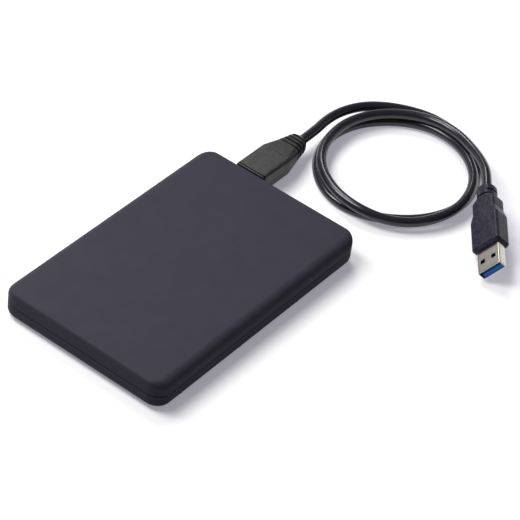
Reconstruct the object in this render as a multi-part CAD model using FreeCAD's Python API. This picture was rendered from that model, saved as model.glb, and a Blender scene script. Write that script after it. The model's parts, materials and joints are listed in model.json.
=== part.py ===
"""Portable 2.5-inch hard drive in a moulded case, with its lead plugged in.

Millimetres, +Z up. The origin is under the middle of the case, on the surface it stands on.
+Y points to the rear end, where the lead leaves, and the case's long sides run along Y.
"""
import FreeCAD, Part
import math
import os

Vec = FreeCAD.Vector

# Driving dimensions

# Bare drive, the standard 2.5-inch size, 9.5 mm high
drive_length = 100.35
drive_width = 69.85
drive_height = 9.5

# Case: moulded walls and the room that they leave round the drive
wall = 1.7
skin = 1.6
side_room = 5.375
front_room = 1.0
rear_room = 0.9
rib_height = 0.4
foam_thickness = 0.5
foam_inset = 17.5
corner_radius = 7.0
side_rounding = 4.2
end_rounding = 1.8
inner_end_rounding = 0.5
base_rounding = 3.4
tray_height = 6.6
seam = 0.35
lip_height = 1.5
lip_thickness = 0.75
lip_clearance = 0.1
snap_length = 6.0
snap_height = 0.6
snap_depth = 0.5
snap_clearance = 0.12
snap_pitch = 38.0
foot_radius = 4.5
foot_proud = 0.6
foot_recess = 0.9
foot_edge = 0.35
foot_inset = 12.0
fin_thickness = 1.2
fin_height = 5.0
drive_clearance = 0.3
fin_pitch = 38.0
rib_inset = 10.0
rib_width = 2.0
stop_width = 4.0

# Bridge board between the drive and the port
board_depth = 18.9
board_width = 64.0
board_thickness = 1.2
board_x = -1.0
boss_radius = 2.6
boss_inset = 4.0
screw_radius = 0.9
screw_head_radius = 1.9
screw_head_height = 0.9
# cross slot of every screw, as a share of the head's radius
screw_slot_width = 0.35
screw_slot_length = 1.2
chip_size = 7.0
chip_height = 0.9
crystal_length = 3.2
crystal_width = 2.5
crystal_height = 0.8
capacitor_length = 1.6
capacitor_width = 0.8
capacitor_pitch = 2.4
capacitor_count = 4

# Port and the metal nose of the plug in it
port_x = -19.0
port_z = 7.6
port_width = 12.8
port_height = 3.2
port_depth = 6.2
sheet = 0.3
nose_clearance = 0.2
port_tongue_thickness = 0.6
port_tongue_width = 9.6
port_margin = 0.3
nose_notch = 0.5
nose_notch_offset = 1.6
led_offset = 12.0
led_length = 1.6
led_width = 0.8
led_height = 0.6
pipe_radius = 0.9
pipe_z = 9.9

# Drive connector
connector_x = 9.0
connector_width = 40.0
connector_height = 4.3
connector_back = 1.8
blade_thickness = 1.1
blade_length = 2.7
blade_data_width = 10.0
blade_power_width = 20.5
blade_gap = 2.6
socket_reach = 6.45
notch_depth = 4.95
notch_height = 5.0
fit_gap = 0.2

# Drive casting, its chamber and lid
board_recess = 2.2
deck_thickness = 1.2
lid_thickness = 0.6
gasket_thickness = 0.3
lid_inset = 0.4
lid_corner = 3.0
rail = 2.5
casting_wall = 1.725
front_wall = 1.8
notch_wall = 1.2
bay_side = 2.1
bay_corner = 5.0
side_hole_radius = 1.25
side_hole_depth = 1.7
side_hole_height = 3.0
side_hole_first = 14.0
side_hole_pitch = 76.6
pcb_thickness = 0.8
pcb_drop = 0.3
pcb_length = 52.0
pcb_edge = 0.4
lid_screw_radius = 0.8
lid_screw_head = 1.6
lid_screw_sunk = 0.36
lid_screw_grip = 2.0
lid_press = 0.2
pcb_screw_head = 0.24
pcb_screw_grip = 0.7
controller_size = 9.8
memory_length = 8.4
lid_screw_inset = 4.3
lid_screw_rear_inset = 2.9

# Spindle and platters, which are as large as the casting has room for
platter_margin = 0.7
platter_bore = 10.0
platter_thickness = 0.8
platter_gap = 1.5
platter_lift = 1.2
hub_flange_radius = 13.0
hub_flange_thickness = 0.65
shaft_radius = 2.0
running_clearance = 0.05
sleeve_radius = 3.5
stator_radius = 8.4
stator_core_radius = 6.6
stator_height = 1.8
stator_boss_radius = 5.5
stator_teeth = 9
rotor_magnet_thickness = 0.7
hub_skirt = 0.6
clamp_radius = 12.5
clamp_thickness = 0.6
clamp_hole_radius = 1.0
clamp_hole_circle = 7.0
clamp_holes = 6

# Head arm, its pivot and voice coil
pivot_margin = 4.65
plate_clearance = 0.3
ramp_platter_gap = 2.5
arm_swing_angle = 34.0
pivot_radius = 1.8
pivot_sleeve_radius = 4.0
arm_hub_radius = 6.0
arm_reach = 27.5
arm_root_half = 4.2
arm_tip_half = 1.6
arm_thickness = 0.5
arm_middle_thickness = 0.7
arm_gap = 0.4
arm_hole_radius = 1.6
arm_hole_reach = 13.5
suspension_thickness = 0.2
suspension_start = 21.0
suspension_reach = 37.6
slider_start = 33.9
slider_length = 1.2
slider_half = 0.5
slider_thickness = 0.15
coil_inner = 10.0
coil_outer = 17.5
coil_half_angle = 20.0
coil_thickness = 1.0
coil_band = 2.2
fork_angle = 4.0
plate_inner = 8.0
plate_outer = 18.2
plate_half_angle = 58.0
plate_thickness = 0.7
magnet_inner = 9.5
magnet_half_angle = 40.0
magnet_thickness = 0.8
magnet_post_radius = 1.2
magnet_post_circle = 13.0
magnet_post_half_angle = 52.0
ramp_start = 36.1
ramp_post_start = 38.6
ramp_post_end = 42.5
ramp_finger_half = 1.5
ramp_post_half = 2.2
ramp_clearance = 0.08
filter_length = 8.0
filter_width = 2.4

# Plug in the port: overmould and strain relief
plug_stand_off = 2.4
plug_width = 15.3
plug_height = 9.0
plug_corner = 1.1
plug_straight = 18.6
plug_taper = 8.4
relief_root_width = 12.0
relief_root_height = 8.5
relief_tip_width = 8.6
relief_tip_height = 7.5
relief_roundness = 0.29
relief_pitch = 2.4
relief_groove = 1.0
relief_groove_depth = 0.9
relief_grooves = 4
neck_length = 1.6
neck_size = 5.8
neck_corner = 2.6
nose_in_overmould = 4.0

# Host plug: standard 12.0 x 4.5 mm shell, stepped overmould, and how it lies
host_shell_width = 12.0
host_shell_height = 4.5
host_shell_wall = 0.32
host_shell_corner = 0.6
host_shell_length = 12.2
host_shell_hidden = 8.0
host_window = 2.3
host_window_from_mouth = 5.6
host_window_half_pitch = 2.9
host_tongue_height = 1.95
host_tongue_set_back = 0.5
host_tongue_block = 2.0
host_contact_width = 1.0
host_contact_length = 7.4
host_contact_thickness = 0.12
host_contact_offsets = (-3.5, -1.0, 1.0, 3.5)
host_body_width = 14.8
host_body_height = 8.8
host_body_corner = 1.7
host_body_length = 17.0
host_front_chamfer = 1.0
host_waist_width = 12.0
host_waist_height = 8.4
host_collar_size = 8.8
host_collar_radius = 4.05
host_step_one = 21.5
host_step_two = 27.5
host_step_three = 30.0
host_length = 36.0
host_groove_from_end = 3.6
host_groove_width = 0.9
host_groove_depth = 0.8
host_place = (84.1, 104.2, 8.2)
host_yaw = -52.3
host_pitch = 5.0
host_roll = 49.5

# Cord: route of the lead and of the tail, and the loop between them
cord_diameter = 4.5
arc_share = 0.45
lead_straight = 10.5
lead_points = [
    (-20.4, 126.2, 7.4),
    (-19.2, 137.2, 7.1),
    (-15.0, 147.4, 6.7),
    (-7.8, 155.4, 6.1),
    (2.0, 161.8, 5.4),
    (12.8, 165.2, 5.0),
    (24.0, 164.2, 4.6),
    (34.6, 158.6, 4.5),
]
tail_straight = 9.5
tail_points = [
    (28.5, 158.6, 5.4),
    (38.5, 154.9, 7.0),
    (47.7, 149.2, 9.6),
]
coil_x = 21.0
coil_y = 124.3
coil_ring_inner = 30.7
coil_ring_outer = 39.2
coil_ring_height = 9.0
coil_ring_corner = 3.9

# Places worked out from the driving dimensions

case_width = drive_width + 2 * (side_room + wall)
case_length = 2 * wall + front_room + drive_length + socket_reach + board_depth + rear_room
half_width = case_width / 2
half_length = case_length / 2
case_bottom = foot_proud
floor_top = case_bottom + skin
drive_bottom = floor_top + rib_height
drive_top = drive_bottom + drive_height
roof = drive_top + foam_thickness
case_top = roof + skin
seam_z = case_bottom + tray_height
lip_top = seam_z + lip_height
cover_edge = wall - lip_thickness - lip_clearance
inside_rear = half_length - wall
drive_front = wall + front_room - half_length
drive_rear = drive_front + drive_length
drive_side = drive_width / 2
board_front = drive_rear + socket_reach
board_rear = board_front + board_depth
board_mid = (board_front + board_rear) / 2
board_top = port_z - port_height / 2
board_bottom = board_top - board_thickness
snap_z = seam_z + seam + snap_clearance

deck_bottom = drive_bottom + board_recess
deck_top = deck_bottom + deck_thickness
lid_bottom = drive_top - lid_thickness
rim_top = lid_bottom - gasket_thickness
notch_front = drive_rear - notch_depth
notch_top = drive_bottom + notch_height
bay_end = notch_depth + notch_wall
bay_rear = drive_rear - bay_end
bay_half = drive_side - bay_side
pcb_bottom = drive_bottom + pcb_drop
pcb_top = pcb_bottom + pcb_thickness
connector_z = pcb_bottom + connector_height / 2

# The magnet plates stand in the rear corner of the bay, and the pivot follows from them. The platter
# fills what is left of the length (front wall, platter, arm hub and plates in a row) or of the width.
pivot_from_spindle_x = bay_half - plate_clearance - plate_outer
pivot_reach = arm_hub_radius + pivot_margin
plates_end = plate_outer + plate_clearance + bay_end
platter_span = drive_length - front_wall - platter_margin - plates_end + pivot_reach
platter_by_length = (platter_span ** 2 + pivot_from_spindle_x ** 2) / (2 * platter_span) - pivot_reach
platter_by_width = drive_side - casting_wall - platter_margin
platter_radius = min(platter_by_length, platter_by_width)
well_radius = platter_radius + platter_margin
spindle_from_end = front_wall + well_radius

spindle_x = 0.0
spindle_y = drive_front + spindle_from_end
platter_low = deck_top + platter_lift
platter_low_top = platter_low + platter_thickness
platter_high = platter_low_top + platter_gap
platter_high_top = platter_high + platter_thickness
hub_bottom = platter_low - hub_flange_thickness
stator_top = deck_top + stator_height
hub_roof = stator_top + arm_gap
hub_bore = platter_bore - hub_skirt

pivot_distance = platter_radius + pivot_reach
pivot_x = spindle_x + pivot_from_spindle_x
pivot_y = spindle_y + math.sqrt(pivot_distance ** 2 - pivot_from_spindle_x ** 2)
spindle_angle = math.degrees(math.atan2(spindle_y - pivot_y, spindle_x - pivot_x))
# Parked, the ramp starts just outside the platter: law of cosines in the triangle spindle, pivot, ramp
ramp_distance = platter_radius + ramp_platter_gap
park_cosine = (pivot_distance ** 2 + ramp_start ** 2 - ramp_distance ** 2) / (2 * pivot_distance * ramp_start)
park_angle_from_spindle = math.degrees(math.acos(park_cosine))
park_angle = spindle_angle - park_angle_from_spindle
arm_low = platter_low - arm_gap - arm_thickness
arm_mid = (platter_low_top + platter_high - arm_middle_thickness) / 2
arm_high = platter_high_top + arm_gap
arm_top = arm_high + arm_thickness
coil_low = arm_mid + arm_middle_thickness / 2 - coil_thickness / 2
sweep_middle = 180 + arm_swing_angle / 2
plate_high = rim_top - plate_thickness - running_clearance

nose_width = port_width - 2 * (sheet + nose_clearance)
nose_height = port_height - 2 * (sheet + nose_clearance)
port_front = inside_rear - lip_clearance
port_back = port_front - port_depth
plug_front = half_length + plug_stand_off
plug_kink = plug_front + plug_straight
relief_start = plug_kink + plug_taper
relief_length = relief_pitch * (relief_grooves - 1) + relief_groove
relief_tip = relief_start + relief_length
relief_end = relief_tip + neck_length
light_x = port_x + led_offset


# Shapes used in several pieces

def block(x0, x1, y0, y1, z0, z1):
    """Box between two corners."""
    return Part.makeBox(x1 - x0, y1 - y0, z1 - z0, Vec(x0, y0, z0))


def slab(x, y, length_x, length_y, z0, z1):
    """Box centred on x, y."""
    return block(x - length_x / 2, x + length_x / 2, y - length_y / 2, y + length_y / 2, z0, z1)


def rod(x, y, z0, z1, radius):
    """Upright cylinder."""
    return Part.makeCylinder(radius, z1 - z0, Vec(x, y, z0))


def ring(x, y, z0, z1, outer, inner):
    """Upright tube."""
    return rod(x, y, z0, z1, outer).cut(rod(x, y, z0, z1, inner))


def polar(radius, degrees):
    """Vector of a given length and direction in plan."""
    angle = math.radians(degrees)
    return Vec(radius * math.cos(angle), radius * math.sin(angle), 0)


def joined(shapes):
    """One solid from shapes that touch or overlap, with its coplanar faces merged."""
    return shapes[0].multiFuse(shapes[1:]).removeSplitter()


def rounded_wire(width, height, radius):
    """Rectangle with round corners about the origin, in the XY plane."""
    arcs = []
    for quarter, (sign_x, sign_y) in enumerate(((1, -1), (1, 1), (-1, 1), (-1, -1))):
        centre = Vec(sign_x * (width / 2 - radius), sign_y * (height / 2 - radius), 0)
        first = 90 * (quarter - 1)
        arcs.append(Part.Arc(*[centre + polar(radius, first + step) for step in (0, 45, 90)]))
    edges = []
    for quarter, arc in enumerate(arcs):
        following = arcs[(quarter + 1) % 4]
        edges.append(arc.toShape())
        edges.append(Part.LineSegment(arc.EndPoint, following.StartPoint).toShape())
    return Part.Wire(edges)


def plan_block(width, length, radius, z0, z1, x=0.0, y=0.0):
    """Block with upright round corners, centred on x, y."""
    face = Part.Face(rounded_wire(width, length, radius))
    face.translate(Vec(x, y, z0))
    return face.extrude(Vec(0, 0, z1 - z0))


def across_y(width, height, radius, x, y, z):
    """Rounded section standing across the Y direction."""
    wire = rounded_wire(width, height, radius)
    wire.Placement = FreeCAD.Placement(Vec(x, y, z), FreeCAD.Rotation(Vec(1, 0, 0), 90))
    return wire


def across_x(width, height, radius, x, z=0.0):
    """Rounded section standing across the X direction, its width along Y."""
    wire = rounded_wire(width, height, radius)
    wire.Placement = FreeCAD.Placement(Vec(x, 0, z), FreeCAD.Rotation(Vec(1, 1, 1), 120))
    return wire


def loft(*sections):
    """Solid with straight sides through the sections in turn."""
    return Part.makeLoft(list(sections), True, True)


def fan(z0, z1, inner, outer, first, last):
    """Part of a ring about the origin, between two directions in degrees."""
    middle = (first + last) / 2
    outside = Part.Arc(polar(outer, first), polar(outer, middle), polar(outer, last))
    inside = Part.Arc(polar(inner, last), polar(inner, middle), polar(inner, first))
    edges = [
        outside.toShape(),
        Part.LineSegment(outside.EndPoint, inside.StartPoint).toShape(),
        inside.toShape(),
        Part.LineSegment(inside.EndPoint, outside.StartPoint).toShape(),
    ]
    face = Part.Face(Part.Wire(edges))
    face.translate(Vec(0, 0, z0))
    return face.extrude(Vec(0, 0, z1 - z0))


def tapered_plate(z0, z1, outline):
    """Plate that is symmetric about X, from pairs of distance along X and half width."""
    points = [Vec(x, half, z0) for x, half in outline]
    points += [Vec(x, -half, z0) for x, half in reversed(outline)]
    face = Part.Face(Part.makePolygon(points + points[:1]))
    return face.extrude(Vec(0, 0, z1 - z0))


def screw(x, y, z_head, head_height, head_radius, shank_length, shank_radius, down=True):
    """Pan-head screw with a cross slot, seated at z_head and pointing down or up."""
    sign = -1 if down else 1
    head = Part.makeCylinder(head_radius, head_height, Vec(x, y, z_head), Vec(0, 0, -sign))
    shank = Part.makeCylinder(shank_radius, shank_length, Vec(x, y, z_head), Vec(0, 0, sign))
    slot_width = head_radius * screw_slot_width
    slot_length = head_radius * screw_slot_length
    slot_low = z_head - sign * head_height / 2
    slot_high = z_head - sign * head_height
    bottom, top = sorted((slot_low, slot_high))
    slot = slab(x, y, slot_length, slot_width, bottom, top)
    cross = slab(x, y, slot_width, slot_length, bottom, top)
    return head.fuse(shank).cut(slot).cut(cross).removeSplitter()


def rounded_rim(solid, z, radius_at):
    """Round the edges that lie at height z, with the radius that radius_at gives at each end."""
    document = FreeCAD.newDocument("rounding")
    base = document.addObject("Part::Feature", "base")
    base.Shape = solid
    rounding = document.addObject("Part::Fillet", "rounding")
    rounding.Base = base
    chosen = []
    for number, edge in enumerate(solid.Edges, 1):
        box = edge.BoundBox
        if abs(box.ZMin - z) < 1e-6 and abs(box.ZMax - z) < 1e-6:
            first = radius_at(edge.valueAt(edge.FirstParameter))
            last = radius_at(edge.valueAt(edge.LastParameter))
            chosen.append((number, first, last))
    rounding.Edges = chosen
    document.recompute()
    result = rounding.Shape.copy()
    FreeCAD.closeDocument(document.Name)
    return result


# Case

def shell_block(inset, z0, z1):
    """Plan of the case, drawn in by inset."""
    return plan_block(case_width - 2 * inset, case_length - 2 * inset, corner_radius - inset, z0, z1)


def snap_blocks(depth, margin):
    """Snap hooks that stand inwards from the cover's thin edge, grown by margin."""
    edge_x = half_width - cover_edge
    edge_y = half_length - cover_edge
    z0 = snap_z - margin
    z1 = snap_z + snap_height + margin
    half = snap_length / 2 + margin
    hooks = []
    for step in (-1, 0, 1):
        y = step * snap_pitch
        hooks.append(block(edge_x - depth, edge_x, y - half, y + half, z0, z1))
        hooks.append(block(-edge_x, -edge_x + depth, y - half, y + half, z0, z1))
    for x in (-snap_pitch / 2, snap_pitch / 2):
        hooks.append(block(x - half, x + half, -edge_y, -edge_y + depth, z0, z1))
    hooks.append(block(snap_pitch / 2 - half, snap_pitch / 2 + half, edge_y - depth, edge_y, z0, z1))
    return hooks


def port_opening():
    """Hole through the rear wall for the nose of the plug."""
    width = port_width + 2 * port_margin
    height = port_height + 2 * port_margin
    hole = loft(
        across_y(width, height, height / 3, port_x, inside_rear - wall, port_z),
        across_y(width, height, height / 3, port_x, half_length + wall, port_z),
    )
    return hole


def light_rod():
    """Round leg of the light pipe, through the rear wall."""
    return Part.makeCylinder(pipe_radius, half_length - board_rear + pipe_radius,
                             Vec(light_x, board_rear - pipe_radius, pipe_z), Vec(0, 1, 0))


def top_cover():
    bottom = seam_z + seam
    outer = rounded_rim(
        shell_block(0, bottom, case_top), case_top,
        lambda p: side_rounding if abs(p.x) > half_width - 1e-6 else end_rounding)
    inner = rounded_rim(
        shell_block(wall, bottom, roof), roof,
        lambda p: side_rounding - wall if abs(p.x) > half_width - wall - 1e-6 else inner_end_rounding)
    cover = outer.cut(inner).cut(shell_block(cover_edge, bottom, lip_top))
    cover = joined([cover] + snap_blocks(snap_depth, 0))
    return cover.cut(port_opening()).cut(light_rod())


def foot_places():
    """Names and centres of the four feet."""
    x = half_width - foot_inset
    y = half_length - foot_inset
    return {
        "foot_front_left": (-x, -y),
        "foot_front_right": (x, -y),
        "foot_rear_left": (-x, y),
        "foot_rear_right": (x, y),
    }


def boss_places():
    """Centres of the two bosses that carry the bridge board."""
    reach = board_width / 2 - boss_inset
    return [(board_x - reach, board_mid), (board_x + reach, board_mid)]


def tray_inside():
    """Ribs, fins, stops and bosses that stand on the tray's floor."""
    low = floor_top - skin / 2
    pieces = []
    for x in (rib_inset - drive_side, drive_side - rib_inset):
        half = rib_width / 2
        pieces.append(block(x - half, x + half, drive_front, drive_rear, low, drive_bottom))
    inner = half_width - wall / 2
    for step in (-1, 0, 1):
        y = (drive_front + drive_rear) / 2 + step * fin_pitch
        for side in (-1, 1):
            x0, x1 = sorted((side * (drive_side + drive_clearance), side * inner))
            pieces.append(block(x0, x1, y - fin_thickness / 2, y + fin_thickness / 2,
                                low, floor_top + fin_height))
    stop_y = drive_rear + drive_clearance
    for x in (drive_side - stop_width / 2, stop_width / 2 - drive_side):
        pieces.append(block(x - stop_width / 2, x + stop_width / 2, stop_y, stop_y + fin_thickness,
                            low, floor_top + fin_height))
    for x, y in boss_places():
        pieces.append(rod(x, y, low, board_bottom, boss_radius))
    return pieces


def bottom_tray():
    outer = rounded_rim(shell_block(0, case_bottom, seam_z), case_bottom, lambda p: base_rounding)
    inner = rounded_rim(shell_block(wall, floor_top, seam_z), floor_top, lambda p: base_rounding - wall)
    lip = shell_block(wall - lip_thickness, seam_z, lip_top).cut(shell_block(wall, seam_z, lip_top))
    tray = joined([outer.cut(inner), lip] + tray_inside())
    for window in snap_blocks(snap_depth + wall, snap_clearance):
        tray = tray.cut(window)
    for x, y in foot_places().values():
        tray = tray.cut(rod(x, y, case_bottom, case_bottom + foot_recess, foot_radius))
    for x, y in boss_places():
        tray = tray.cut(rod(x, y, floor_top, board_bottom, screw_radius))
    return tray.cut(port_opening())


def foot(x, y):
    """Rubber disc in its recess, with a bevelled lower edge."""
    disc = rod(x, y, 0, foot_proud + foot_recess, foot_radius)
    lower = [edge for edge in disc.Edges if edge.BoundBox.ZMax < foot_proud / 2]
    return disc.makeChamfer(foot_edge, lower)


def foam_pad():
    return plan_block(drive_width - 2 * rib_inset, drive_length - 2 * foam_inset, corner_radius,
                      drive_top, roof, 0, (drive_front + drive_rear) / 2)


# Bridge board

def bridge_board():
    board = slab(board_x, board_mid, board_width, board_depth, board_bottom, board_top)
    for x, y in boss_places():
        board = board.cut(rod(x, y, board_bottom, board_top, screw_radius))
    return board


def board_screws():
    length = board_top - floor_top - screw_radius
    return Part.makeCompound([
        screw(x, y, board_top, screw_head_height, screw_head_radius, length, screw_radius)
        for x, y in boss_places()])


def bridge_chip():
    return slab(connector_x, board_mid, chip_size, chip_size, board_top, board_top + chip_height)


def board_crystal():
    x = connector_x - chip_size / 2 - crystal_length
    return plan_block(crystal_length, crystal_width, crystal_width / 4,
                      board_top, board_top + crystal_height, x, board_mid)


def board_capacitors():
    x = connector_x + chip_size / 2 + capacitor_length + capacitor_width
    first = board_mid - capacitor_pitch * (capacitor_count - 1) / 2
    return Part.makeCompound([
        slab(x, first + capacitor_pitch * number, capacitor_length, capacitor_width,
             board_top, board_top + capacitor_width)
        for number in range(capacitor_count)])


def activity_led():
    y = board_rear - pipe_radius - led_width / 2
    return slab(light_x, y, led_length, led_width, board_top, board_top + led_height)


def light_pipe():
    """Round leg through the wall and a square leg down to the light."""
    back = board_rear - 2 * pipe_radius
    leg = block(light_x - pipe_radius, light_x + pipe_radius, back, back + 2 * pipe_radius,
                board_top + led_height + fit_gap, pipe_z + pipe_radius)
    return joined([leg, light_rod()])


def port_shell():
    """Folded metal shell of the port, open to the rear and closed behind."""
    outer = loft(
        across_y(port_width, port_height, port_height / 4, port_x, port_back, port_z),
        across_y(port_width, port_height, port_height / 4, port_x, port_front, port_z),
    )
    width = port_width - 2 * sheet
    height = port_height - 2 * sheet
    inner = loft(
        across_y(width, height, height / 4, port_x, port_back + sheet, port_z),
        across_y(width, height, height / 4, port_x, port_front, port_z),
    )
    return outer.cut(inner)


def port_tongue():
    """Insulator with its contact tongue, on the back wall of the port."""
    back = port_back + sheet
    tip = port_front - port_tongue_thickness
    tongue = block(port_x - port_tongue_width / 2, port_x + port_tongue_width / 2, back, tip,
                   port_z - port_tongue_thickness / 2, port_z + port_tongue_thickness / 2)
    key_x = port_x + nose_notch_offset
    key_half = nose_notch / 2 + sheet + nose_clearance
    key = block(key_x - key_half, key_x + key_half, back, tip,
                port_z - port_tongue_thickness, port_z + port_tongue_thickness)
    return tongue.cut(key)


def drive_socket():
    """Socket on the edge of the bridge board, with a slot for each blade of the drive."""
    front = notch_front + connector_back + fit_gap
    half = connector_width / 2 - fit_gap
    height = connector_height / 2 - fit_gap
    body = block(connector_x - half, connector_x + half, front, board_front,
                 connector_z - height, connector_z + height)
    for x0, x1 in blade_spans():
        body = body.cut(block(x0 - fit_gap, x1 + fit_gap, front, front + blade_length + fit_gap,
                              connector_z - blade_thickness / 2 - fit_gap,
                              connector_z + blade_thickness / 2 + fit_gap))
    return body


# Bare drive: casting, lid and board

def blade_spans():
    """Where the data and the power blade of the drive connector start and end."""
    total = blade_data_width + blade_gap + blade_power_width
    first = connector_x - total / 2
    second = first + blade_data_width + blade_gap
    return [(first, first + blade_data_width), (second, second + blade_power_width)]


def chamber(margin, z0, z1):
    """Sealed space of the drive: the platter well and the bay of the head arm."""
    well = rod(spindle_x, spindle_y, z0, z1, well_radius + margin)
    rear = bay_rear + margin
    bay = plan_block(2 * (bay_half + margin), rear - spindle_y, bay_corner, z0, z1,
                     0, (rear + spindle_y) / 2)
    return well.fuse(bay)


def lid_screw_places():
    x = drive_side - lid_screw_inset
    front = drive_front + lid_screw_inset
    rear = drive_rear - lid_screw_rear_inset
    return [(-x, front), (x, front), (-x, rear), (x, rear)]


def pcb_screw_places():
    x = drive_side - rail - pcb_edge - boss_radius
    rear = notch_front - boss_radius - pcb_edge
    front = notch_front - pcb_length + boss_radius + pcb_edge
    return [(-x, front), (x, front), (-x, rear), (x, rear)]


def drive_base():
    """Cast base: walls and deck, with the board's recess below and the chamber above."""
    base = plan_block(drive_width, drive_length, lid_corner / 2, drive_bottom, rim_top,
                      0, (drive_front + drive_rear) / 2)
    base = base.cut(chamber(0, deck_top, rim_top))
    half = drive_side - rail
    base = base.cut(block(-half, half, notch_front - pcb_length - pcb_edge, notch_front,
                          drive_bottom, deck_bottom))
    notch = connector_width / 2 + fit_gap
    base = base.cut(block(connector_x - notch, connector_x + notch, notch_front, drive_rear,
                          drive_bottom, notch_top))
    low = drive_bottom + pcb_drop
    bosses = [rod(spindle_x, spindle_y, low, deck_top + stator_height / 2, stator_boss_radius)]
    bosses += [rod(x, y, pcb_top, deck_bottom, boss_radius) for x, y in pcb_screw_places()]
    base = joined([base] + bosses)
    base = base.cut(rod(spindle_x, spindle_y, deck_bottom, rim_top, sleeve_radius))
    for x, y in pcb_screw_places():
        base = base.cut(rod(x, y, pcb_top, deck_bottom, lid_screw_radius))
    for x, y in lid_screw_places():
        base = base.cut(rod(x, y, rim_top - lid_screw_grip - fit_gap, rim_top, lid_screw_radius))
    for side in (-1, 1):
        for y in (side_hole_first, side_hole_first + side_hole_pitch):
            start = Vec(side * drive_side, drive_front + y, drive_bottom + side_hole_height)
            base = base.cut(Part.makeCylinder(side_hole_radius, side_hole_depth, start, Vec(-side, 0, 0)))
    return base


def lid_plate(inset, z0, z1):
    return plan_block(drive_width - 2 * inset, drive_length - 2 * inset, lid_corner, z0, z1,
                      0, (drive_front + drive_rear) / 2)


def lid_gasket():
    gasket = lid_plate(2 * lid_inset, rim_top, lid_bottom).cut(chamber(lid_inset, rim_top, lid_bottom))
    for x, y in lid_screw_places():
        gasket = gasket.cut(rod(x, y, rim_top, lid_bottom, lid_screw_radius))
    return gasket


def drive_lid():
    """Stamped lid, pressed down a little in a ring round the spindle."""
    lid = lid_plate(lid_inset, lid_bottom, drive_top)
    lid = lid.cut(ring(spindle_x, spindle_y, drive_top - lid_press, drive_top,
                       platter_radius - lid_corner, hub_flange_radius))
    for x, y in lid_screw_places():
        lid = lid.cut(rod(x, y, lid_bottom, drive_top, lid_screw_radius))
        lid = lid.cut(rod(x, y, drive_top - lid_screw_sunk, drive_top, lid_screw_head))
    return lid


def lid_screws():
    seat = drive_top - lid_screw_sunk
    length = seat - rim_top + lid_screw_grip
    return Part.makeCompound([
        screw(x, y, seat, lid_screw_sunk, lid_screw_head, length, lid_screw_radius)
        for x, y in lid_screw_places()])


def drive_board():
    half = drive_side - rail - pcb_edge
    board = block(-half, half, notch_front - pcb_length, notch_front, pcb_bottom, pcb_top)
    board = board.cut(rod(spindle_x, spindle_y, pcb_bottom, pcb_top, stator_boss_radius + pcb_edge))
    for x, y in pcb_screw_places():
        board = board.cut(rod(x, y, pcb_bottom, pcb_top, lid_screw_radius))
    return board


def drive_board_screws():
    return Part.makeCompound([
        screw(x, y, pcb_bottom, pcb_screw_head, lid_screw_head, pcb_thickness + pcb_screw_grip,
              lid_screw_radius, down=False)
        for x, y in pcb_screw_places()])


def drive_chips():
    """Controller, motor driver and memory on the inner side of the drive's board."""
    middle = notch_front - pcb_length / 2
    top = deck_bottom - fit_gap
    return Part.makeCompound([
        slab(-controller_size, middle, controller_size, controller_size, pcb_top, top),
        slab(chip_size, middle, chip_size, chip_size, pcb_top, top),
        slab(0, middle + controller_size + chip_size, memory_length, chip_size, pcb_top, top),
    ])


def drive_connector():
    """Back wall with the data and power blades, on the end of the drive's board."""
    half = connector_width / 2
    back = block(connector_x - half, connector_x + half, notch_front, notch_front + connector_back,
                 pcb_bottom, pcb_bottom + connector_height)
    pieces = [back]
    for x0, x1 in blade_spans():
        pieces.append(block(x0, x1, notch_front, notch_front + connector_back + blade_length,
                            connector_z - blade_thickness / 2, connector_z + blade_thickness / 2))
    return joined(pieces)


# Spindle and platters

def bearing_sleeve():
    return ring(spindle_x, spindle_y, deck_bottom, stator_top,
                sleeve_radius, shaft_radius + running_clearance)


def motor_stator():
    """Wound core: a yoke on the casting's boss and teeth that face the rotor magnet."""
    yoke = ring(spindle_x, spindle_y, deck_top, stator_top, stator_core_radius, stator_boss_radius)
    tooth_half = 360 / stator_teeth / 3
    pieces = [yoke]
    for number in range(stator_teeth):
        middle = number * 360 / stator_teeth
        tooth = fan(deck_top, stator_top, stator_core_radius - sheet, stator_radius,
                    middle - tooth_half, middle + tooth_half)
        tooth.translate(Vec(spindle_x, spindle_y, 0))
        pieces.append(tooth)
    return joined(pieces)


def rotor_magnet():
    return ring(spindle_x, spindle_y, hub_bottom, hub_roof, hub_bore, hub_bore - rotor_magnet_thickness)


def spindle_hub():
    """Turned hub: flange under the lower platter, skirt round the motor, bore for the shaft."""
    body = rod(spindle_x, spindle_y, platter_low, platter_high_top, platter_bore)
    flange = rod(spindle_x, spindle_y, hub_bottom, platter_low, hub_flange_radius)
    hub = joined([body, flange])
    hub = hub.cut(rod(spindle_x, spindle_y, hub_bottom, hub_roof, hub_bore))
    return hub.cut(rod(spindle_x, spindle_y, hub_bottom, platter_high_top, shaft_radius))


def spindle_shaft():
    shaft = rod(spindle_x, spindle_y, deck_bottom + fit_gap, platter_high_top, shaft_radius)
    return shaft.cut(rod(spindle_x, spindle_y, platter_high, platter_high_top, lid_screw_radius))


def platter(z0):
    disc = ring(spindle_x, spindle_y, z0, z0 + platter_thickness, platter_radius, platter_bore)
    rims = [edge for edge in disc.Edges
            if isinstance(edge.Curve, Part.Circle) and edge.Curve.Radius > platter_radius - sheet]
    return disc.makeChamfer(platter_thickness / 5, rims)


def platter_spacer():
    return ring(spindle_x, spindle_y, platter_low_top, platter_high, hub_flange_radius, platter_bore)


def disk_clamp():
    top = platter_high_top + clamp_thickness
    clamp = ring(spindle_x, spindle_y, platter_high_top, top, clamp_radius, lid_screw_radius)
    for number in range(clamp_holes):
        place = Vec(spindle_x, spindle_y, 0) + polar(clamp_hole_circle, number * 360 / clamp_holes)
        clamp = clamp.cut(rod(place.x, place.y, platter_high_top, top, clamp_hole_radius))
    return clamp


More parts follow.
